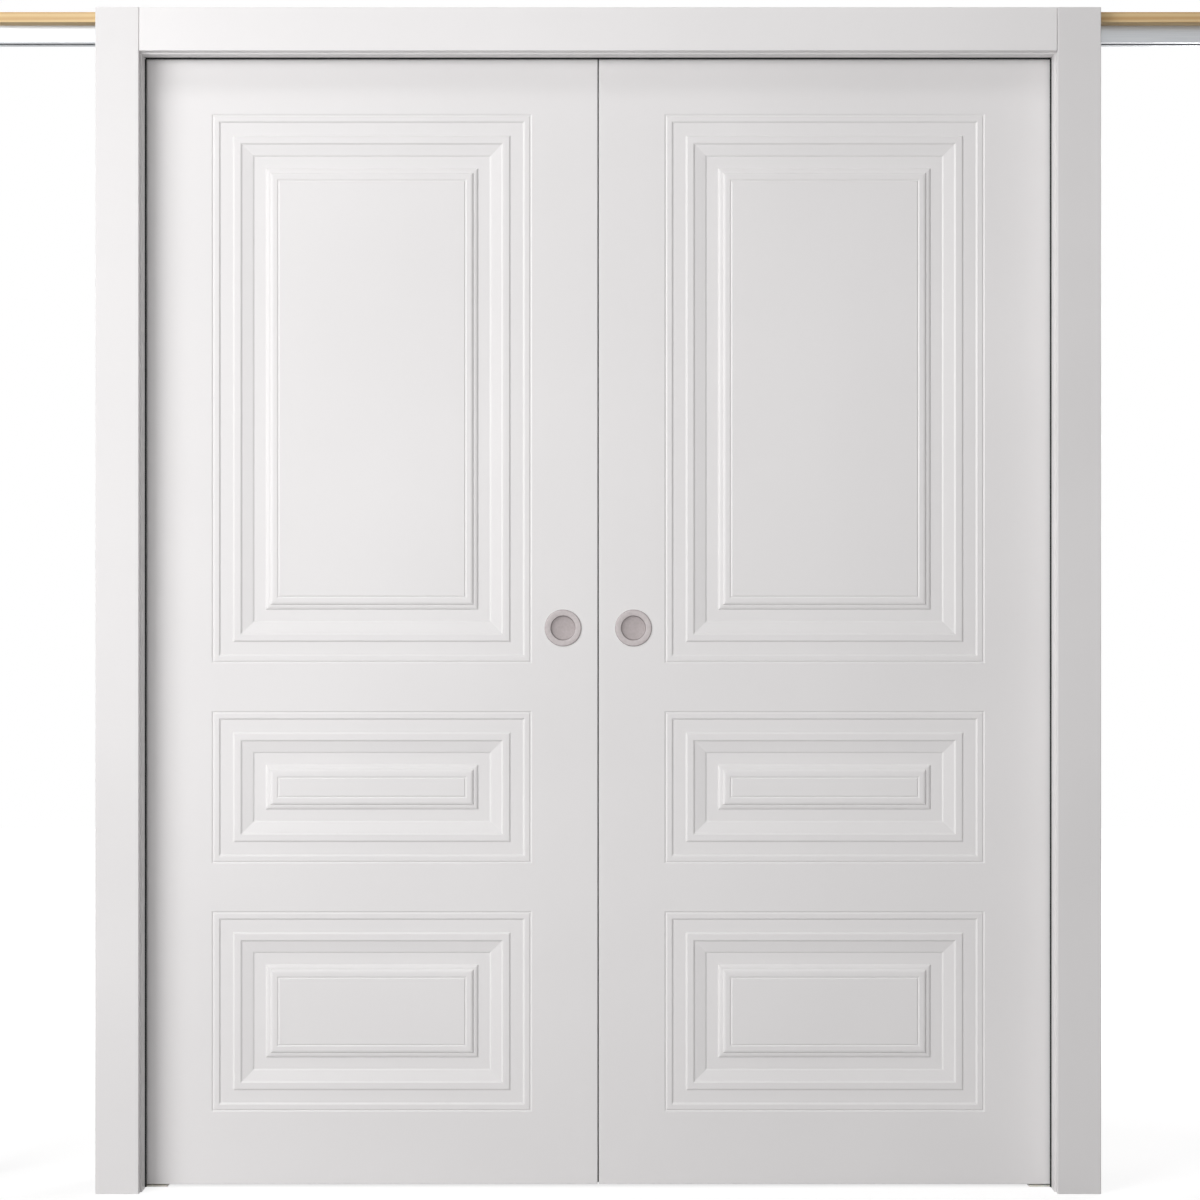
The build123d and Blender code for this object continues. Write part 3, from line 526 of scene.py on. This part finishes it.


# The pile is black, and its black also stands in for the shade in the gap between jamb and leaf: partly
# painted shade.
def black_pile():
    material, tree, place = blank("black_pile")
    fibre = add_node(tree, "ShaderNodeTexNoise", {"Vector": place, "Scale": 1 / pile_fibre})
    return finished(material, {"Roughness": 0.85, "Sheen Weight": 0.15},
                    stain=(fibre, 0.3, 0.8, colour("#0c0c0d"), colour("#1b1b1d")),
                    relief=(fibre, pile_depth, 0.8))


def pile_growth(material):
    # Tufts stand on a grid along Y, each turned, leant and shortened a little by chance
    tree, given = named_tree("pile_growth", {
        "Length": 1.0, "Pitch": tuft_pitch, "Rows": tuft_rows, "Height": tuft_height, "Foot": tuft_foot,
        "Tip": tuft_tip, "Seed": left_seed})
    along = add_node(tree, "ShaderNodeMath", {0: given["Length"], 1: given["Pitch"]}, operation="DIVIDE")
    across = add_node(tree, "ShaderNodeMath", {0: given["Rows"], 1: given["Pitch"]}, operation="MULTIPLY")
    across = add_node(tree, "ShaderNodeMath", {0: across, 1: given["Pitch"]}, operation="SUBTRACT")
    grid = add_node(tree, "GeometryNodeMeshGrid", {
        "Size X": across, "Size Y": given["Length"], "Vertices X": given["Rows"], "Vertices Y": along})
    tuft = add_node(tree, "GeometryNodeMeshCone", {
        "Radius Top": given["Tip"], "Radius Bottom": given["Foot"], "Depth": given["Height"],
        "Vertices": tuft_sides})
    lean = add_node(tree, "FunctionNodeRandomValue", {
        "Seed": given["Seed"], "Min": (-tuft_lean, -tuft_lean, 0.0),
        "Max": (tuft_lean, tuft_lean, tuft_turn)}, data_type="FLOAT_VECTOR")
    size = add_node(tree, "FunctionNodeRandomValue", {
        "Seed": given["Seed"], "Min": (thin_tuft, thin_tuft, short_tuft),
        "Max": (1.0, 1.0, tall_tuft)}, data_type="FLOAT_VECTOR")
    return planted(tree, material, {"Points": grid, "Instance": tuft, "Rotation": lean, "Scale": size})


def add_block(shape, low, high):
    # A plain block between two corners
    low, high = Vector(low), Vector(high)
    size = Matrix.Diagonal((*(high - low), 1))
    bmesh.ops.create_cube(shape, matrix=Matrix.Translation((low + high) / 2) @ size)


def seal_mesh(name, tree, material):
    # Two legs and a head of pile, each on its tape with a core of dense feet and a barb
    shape = bmesh.new()
    low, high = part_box("front_jamb_seal")
    tape, tip = low.y + seal_barb_depth, high.y
    leg_x = high.x - seal_width / 2
    leg_low, leg_high, head_z = low.z, high.z - seal_width, high.z - seal_width / 2
    head_reach = -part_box("front_left_jamb")[1].x - seal_clearance
    height = tip - tape - seal_backing - pile_margin
    # Each turns a run that lies along Y, with its tufts up Z, into its place on the jambs
    upright = Matrix(((-1, 0, 0, 0), (0, 0, 1, 0), (0, 1, 0, 0), (0, 0, 0, 1)))
    level = Matrix(((0, 1, 0, 0), (0, 0, 1, 0), (1, 0, 0, 0), (0, 0, 0, 1)))
    leg_middle, leg_length = (leg_low + leg_high) / 2, leg_high - leg_low
    half = seal_width / 2
    for turn, middle, length, seed in (
            (upright, Vector((-leg_x, tape, leg_middle)), leg_length, left_seed),
            (upright, Vector((leg_x, tape, leg_middle)), leg_length, right_seed),
            (level, Vector((0, tape, head_z)), 2 * head_reach, head_seed)):
        for reach, near, far in ((half, 0.0, seal_backing),
                                 (half - pile_margin * 2, seal_backing, pile_core),
                                 (seal_barb / 2, -seal_barb_depth, 0.0)):
            low_corner = turn @ Vector((-reach, -length / 2, near)) + middle
            high_corner = turn @ Vector((reach, length / 2, far)) + middle
            add_block(shape, low_corner, high_corner)
        tufts = grown("tufts", tree, {"Length": length - tuft_foot * 2, "Height": height, "Seed": seed})
        tufts.transform(Matrix.Translation(middle + Vector((0, seal_backing, 0))) @ turn)
        shape.from_mesh(tufts)
        bpy.data.meshes.remove(tufts)
    mesh = as_mesh(name, shape)
    mesh.materials.append(material)
    return mesh


pile = black_pile()
front_pile = seal_mesh("front_jamb_pile", pile_growth(pile), pile)
back_pile = front_pile.copy()
back_pile.transform(Matrix.Rotation(math.pi, 4, "Z"))
for face, mesh in (("front", front_pile), ("back", back_pile)):
    seal = placed(f"{face}_jamb_pile", mesh)
    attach(seal, "frame")
    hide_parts(f"{face}_jamb_seal")

# Leaves: medium-density board, each routed from one piece on both faces, then sprayed with
# satin white enamel. Spraying leaves a fine orange peel, and it eases every routed arris.
panel_side_margin, panel_top_margin = 0.120, 0.120
panel_rail = 0.090
panel_heights = (0.978, 0.268, 0.354)
arris_radius, edge_radius = 0.0004, 0.0010
arc_steps, edge_steps = 8, 4
# A corner of the routing that turns by this much is eased, by at most this share of a side
least_turn, most_ease = math.radians(4), 0.4
orange_peel, peel_depth, spray_cloud = 0.0022, 0.00004, 0.588
bore_radius, bore_depth, bore_sides = 0.0244, 0.0074, 96
groove_half, groove_depth = 0.004, 0.015
kerf_depth, kerf_half, kerf_middle = 0.005, 0.0021, -0.003
recess_radius, recess_depth = 0.011, 0.009
# Cutters run this far past the board, and places nearer than a hair count as one
past, hair = 0.002, 1e-7
leaf_low, leaf_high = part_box("left_leaf")
leaf_half = leaf_high.y
jamb_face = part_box("front_left_jamb")[1].x
pull_low, pull_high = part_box("left_front_pull")
pull_centre = (pull_low + pull_high) / 2


def round_up(start, width, low, high):
    # A quarter round that starts upright at its foot and ends level at its top
    turns = [math.pi / 2 * step / arc_steps for step in range(1, arc_steps + 1)]
    return [(start + width * (1 - math.cos(turn)), low + (high - low) * math.sin(turn)) for turn in turns]


# The moulding as distance inward from the outer scored line, and depth, both in millimetres
moulding = [
    [(-2.5, 0), (0, -1.2), (2.5, 0), (10.5, 0), (13.5, -2.0), (35.6, -2.0), (38.6, 0), (49.2, 0),
     (52.2, -2.0), (70.8, -4.6), (73.2, -6.0), (94.0, -6.0)],
    round_up(94.0, 6.5, -6.0, -3.0),
    [(102.4, -3.0)],
    round_up(102.4, 5.6, -3.0, 0),
    [(114.4, 0), (116.7, -1.1), (119.0, 0)],
]


def eased(runs):
    # One outline in metres from straight runs and arcs in turn. Corners of the straight runs
    # are eased. Each point carries whether the strip that ends there is curved.
    points = [(Vector(point) / 1000, index % 2 == 1) for index, run in enumerate(runs) for point in run]
    outline = [(points[0][0], False)]
    for (before, _), (corner, curved), (after, _) in zip(points, points[1:], points[2:]):
        if curved or (corner - before).angle(after - corner) < least_turn:
            outline.append((corner, curved))
            continue
        back, ahead = (before - corner), (after - corner)
        reach = min(arris_radius, back.length * most_ease, ahead.length * most_ease)
        first, last = corner + back.normalized() * reach, corner + ahead.normalized() * reach
        outline.append((first, False))
        outline.append((first * 0.25 + corner * 0.5 + last * 0.25, True))
        outline.append((last, True))
    outline.append((points[-1][0], False))
    return outline


def board_face(shape, face, panels, xs, zs, outline):
    # One face of the board: a plain grid round the panels, with nested mitred rings in each
    def vertex(x, z, depth=0.0):
        return shape.verts.new((x, face * (leaf_half + depth), z))

    grid = [[vertex(x, z) for z in zs] for x in xs]
    for column in range(len(xs) - 1):
        for row in range(len(zs) - 1):
            corners = (grid[column][row], grid[column + 1][row], grid[column + 1][row + 1],
                       grid[column][row + 1])
            if (column, row) not in panels:
                shape.faces.new(corners)
                continue
            (x0, z0), (x1, z1) = (xs[column], zs[row]), (xs[column + 1], zs[row + 1])
            ring = corners
            start = outline[0][0].x
            for point, curved in outline[1:]:
                inward = point.x - start
                inner = [vertex(x, z, point.y) for x, z in (
                    (x0 + inward, z0 + inward), (x1 - inward, z0 + inward), (x1 - inward, z1 - inward),
                    (x0 + inward, z1 - inward))]
                for side in range(4):
                    after = (side + 1) % 4
                    strip = shape.faces.new((ring[side], ring[after], inner[after], inner[side]))
                    strip.smooth = curved
                    shape.edges.get((ring[side], inner[side])).smooth = False
                ring = inner
            shape.faces.new(ring)
    rim = [grid[i][0] for i in range(len(xs))] + [grid[-1][j] for j in range(1, len(zs))]
    rim += [grid[i][-1] for i in range(len(xs) - 2, -1, -1)]
    rim += [grid[0][j] for j in range(len(zs) - 2, 0, -1)]
    return rim


def board(name):
    # The whole board as a closed mesh, with eased arrises round its four edges
    shape = bmesh.new()
    outline = eased(moulding)
    reach = outline[0][0].x
    xs = [leaf_low.x + edge_radius, jamb_face + panel_side_margin + reach,
          leaf_high.x - panel_side_margin - reach, leaf_high.x - edge_radius]
    zs, top = [leaf_high.z - edge_radius], leaf_high.z - panel_top_margin
    for height in panel_heights:
        zs += [top - reach, top - height + reach]
        top -= height + panel_rail
    zs = sorted(zs + [leaf_low.z + edge_radius])
    panels = [(1, 2 * n + 1) for n in range(len(panel_heights))]
    rims = []
    for face in (-1, 1):
        rim = board_face(shape, face, panels, xs, zs, outline)
        rows = [rim]
        for step in range(1, edge_steps + 1):
            turn = math.pi / 2 / edge_steps * step
            out, back = edge_radius * math.sin(turn), edge_radius * (1 - math.cos(turn))
            row = []
            for point in rim:
                side = (point.co.x > xs[-1] - hair) - (point.co.x < xs[0] + hair)
                level = (point.co.z > zs[-1] - hair) - (point.co.z < zs[0] + hair)
                row.append(shape.verts.new((point.co.x + out * side, face * (leaf_half - back),
                                            point.co.z + out * level)))
            rows.append(row)
        for inner, outer in zip(rows, rows[1:]):
            for i in range(len(rim)):
                j = (i + 1) % len(rim)
                shape.faces.new((inner[i], inner[j], outer[j], outer[i])).smooth = True
        rims.append(rows[-1])
    for i in range(len(rims[0])):
        j = (i + 1) % len(rims[0])
        shape.faces.new((rims[0][i], rims[0][j], rims[1][j], rims[1][i]))
    return as_mesh(name, shape)


def drilled(piece, cuts):
    # Cuts are round ones, as centre, radius, depth and direction, or boxes, as two corners
    shape = bmesh.new()
    for cut in cuts:
        if len(cut) == 4:
            centre, radius, depth, axis = cut
            turn = Vector((0, 0, 1)).rotation_difference(Vector(axis)).to_matrix().to_4x4()
            place = Matrix.Translation(Vector(centre)) @ turn
            bmesh.ops.create_cone(shape, cap_ends=True, segments=bore_sides, radius1=radius, radius2=radius,
                                  depth=2 * depth, matrix=place)
        else:
            add_block(shape, *cut)
    tool_mesh = as_mesh("cutter", shape)
    cutter = placed("cutter", tool_mesh)
    cut = piece.modifiers.new("cut", "BOOLEAN")
    cut.solver, cut.object = "EXACT", cutter
    settled(piece)
    bpy.data.objects.remove(cutter)
    bpy.data.meshes.remove(tool_mesh)
    return piece


def sprayed_enamel():
    material, tree, place = blank("sprayed_white_enamel")
    cloud = add_node(tree, "ShaderNodeTexNoise", {"Vector": place, "Scale": 1 / spray_cloud})
    peel = add_node(tree, "ShaderNodeTexNoise", {"Vector": place, "Scale": 1 / orange_peel})
    return finished(material, {}, stain=(cloud, 0.3, 0.7, colour("#e9e7e7"), colour("#eeecec")),
                    gloss=(peel, 0.36, 0.46), relief=(peel, peel_depth, 0.3))


# A bore for each pull, recesses for the hanger bolts, the guides' groove, and the strip's kerf
left_leaf = drilled(placed("left_leaf_board", board("left_leaf_board")), [
    *[((pull_centre.x, face * leaf_half, pull_centre.z), bore_radius, bore_depth, (0, 1, 0))
      for face in (-1, 1)],
    *[((trolley_middles["left", end], 0, leaf_high.z), recess_radius, recess_depth, (0, 0, 1))
      for end in ("lead", "trail")],
    ((leaf_low.x - past, -groove_half, leaf_low.z - past),
     (leaf_high.x + past, groove_half, leaf_low.z + groove_depth)),
])
drilled(left_leaf, [((leaf_high.x - kerf_depth, kerf_middle - kerf_half, leaf_low.z - past),
                     (leaf_high.x + past, kerf_middle + kerf_half, leaf_high.z + past))])
right_mesh = left_leaf.data.copy()
right_mesh.transform(Matrix.Rotation(math.pi, 4, "Z"))
right_leaf = placed("right_leaf_board", right_mesh)
sprayed = sprayed_enamel()
for side, leaf in (("left", left_leaf), ("right", right_leaf)):
    leaf.data.materials.clear()
    leaf.data.materials.append(sprayed)
    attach(leaf, f"{side}_leaf")
    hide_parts(f"{side}_leaf")

# Flush pulls: shallow cups of cast zinc with a broad flat ring, turned, then plated with satin
# nickel. The turning leaves fine rings, drawn 0.75 mm apart, that spread each highlight. The
# sunk floor is painted a shade darker than the ring, as painted shade in the recess.
pull_radius, mouth_radius = 0.033, 0.022
pull_rise, edge_round, lip_round, corner_round = 0.0025, 0.002, 0.0006, 0.002
edge_cuts, lip_cuts, corner_cuts = 8, 4, 6
recess_floor, cup_bottom, cup_radius = 0.005, 0.007, 0.024
turning_ring, ring_depth, nickel_cloud = 0.00075, 0.00001, 0.00417
lathe_segments, sharp_angle = 128, math.radians(28)


def quarter(start, centre, way, steps):
    # Points after the start on a quarter round about the centre, turned to the left or right
    start, centre = Vector(start), Vector(centre)
    turns = [way * math.pi / 2 * step / steps for step in range(1, steps + 1)]
    return [tuple(centre + Matrix.Rotation(turn, 2) @ (start - centre)) for turn in turns]


def lathed(name, outline):
    # A closed turned mesh about +Y. The outline is pairs of radius and distance along Y.
    shape = bmesh.new()
    rings = []
    for radius, along in outline:
        if radius < hair:
            rings.append([shape.verts.new((0, along, 0))])
            continue
        turns = [2 * math.pi * step / lathe_segments for step in range(lathe_segments)]
        rings.append([shape.verts.new((radius * math.cos(turn), along, radius * math.sin(turn)))
                      for turn in turns])
    for inner, outer in zip(rings, rings[1:]):
        for step in range(lathe_segments):
            after = (step + 1) % lathe_segments
            corners = [inner[step % len(inner)], inner[after % len(inner)], outer[after % len(outer)],
                       outer[step % len(outer)]]
            shape.faces.new(list(dict.fromkeys(corners))).smooth = True
    mesh = as_mesh(name, shape)
    mesh.set_sharp_from_angle(angle=sharp_angle)
    return mesh


def satin_nickel():
    material, tree, place = blank("satin_nickel_plate")
    either_side = add_node(tree, "ShaderNodeVectorMath", {0: place}, operation="ABSOLUTE")
    centred = add_node(tree, "ShaderNodeMapping", {
        "Vector": either_side, "Location": (-abs(pull_centre.x), 0, -pull_centre.z)})
    rings = add_node(tree, "ShaderNodeTexWave", {
        "Vector": centred, "Scale": wave_length / turning_ring, "Distortion": 1.5, "Detail": 2.0},
        wave_type="RINGS", rings_direction="Y").outputs["Fac"]
    flat = add_node(tree, "ShaderNodeVectorMath", {0: centred, 1: (1, 0, 1)}, operation="MULTIPLY")
    spread = add_node(tree, "ShaderNodeVectorMath", {0: flat}, operation="LENGTH")
    on_ring = add_node(tree, "ShaderNodeMath", {0: spread, 1: mouth_radius}, operation="GREATER_THAN")
    # Inside the mouth each colour pair takes its darker colour: painted shade on the recess floor.
    tones_with_painted_shade = [add_node(tree, "ShaderNodeMix", {"Factor": on_ring, "A": colour(sunk), "B": colour(ring)},
                      data_type="RGBA") for sunk, ring in (("#928b8b", "#9e9898"), ("#9b9494", "#a8a2a2"))]
    cloud = add_node(tree, "ShaderNodeTexNoise", {"Vector": place, "Scale": 1 / nickel_cloud, "Detail": 3.0})
    return finished(material, {"Metallic": 1.0}, stain=(cloud, 0.3, 0.8, *tones_with_painted_shade),
                    gloss=(rings, 0.54, 0.62), relief=(rings, ring_depth, 0.35))


# The cup's outline from the middle of its floor, up the mouth, over the ring and down its back
cup = [(0, recess_floor), (mouth_radius - corner_round, recess_floor)]
cup += quarter(cup[-1], (mouth_radius - corner_round, recess_floor - corner_round), -1, corner_cuts)
cup += [(mouth_radius, lip_round - pull_rise)]
cup += quarter(cup[-1], (mouth_radius + lip_round, lip_round - pull_rise), 1, lip_cuts)
cup += [(pull_radius - edge_round, -pull_rise)]
cup += quarter(cup[-1], (pull_radius - edge_round, edge_round - pull_rise), 1, edge_cuts)
cup += [(pull_radius, 0), (cup_radius, 0), (cup_radius, cup_bottom), (0, cup_bottom)]
nickel = satin_nickel()
for side, across in (("left", 1), ("right", -1)):
    for face, out in (("front", 1), ("back", -1)):
        mesh = lathed(f"{side}_{face}_pull_cup", cup)
        if out < 0:
            mesh.transform(Matrix.Rotation(math.pi, 4, "Z"))
        mesh.transform(Matrix.Translation((across * pull_centre.x, -out * leaf_half, pull_centre.z)))
        mesh.materials.append(nickel)
        pull = placed(f"{side}_{face}_pull_cup", mesh)
        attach(pull, f"{side}_leaf")
        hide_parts(f"{side}_{face}_pull")
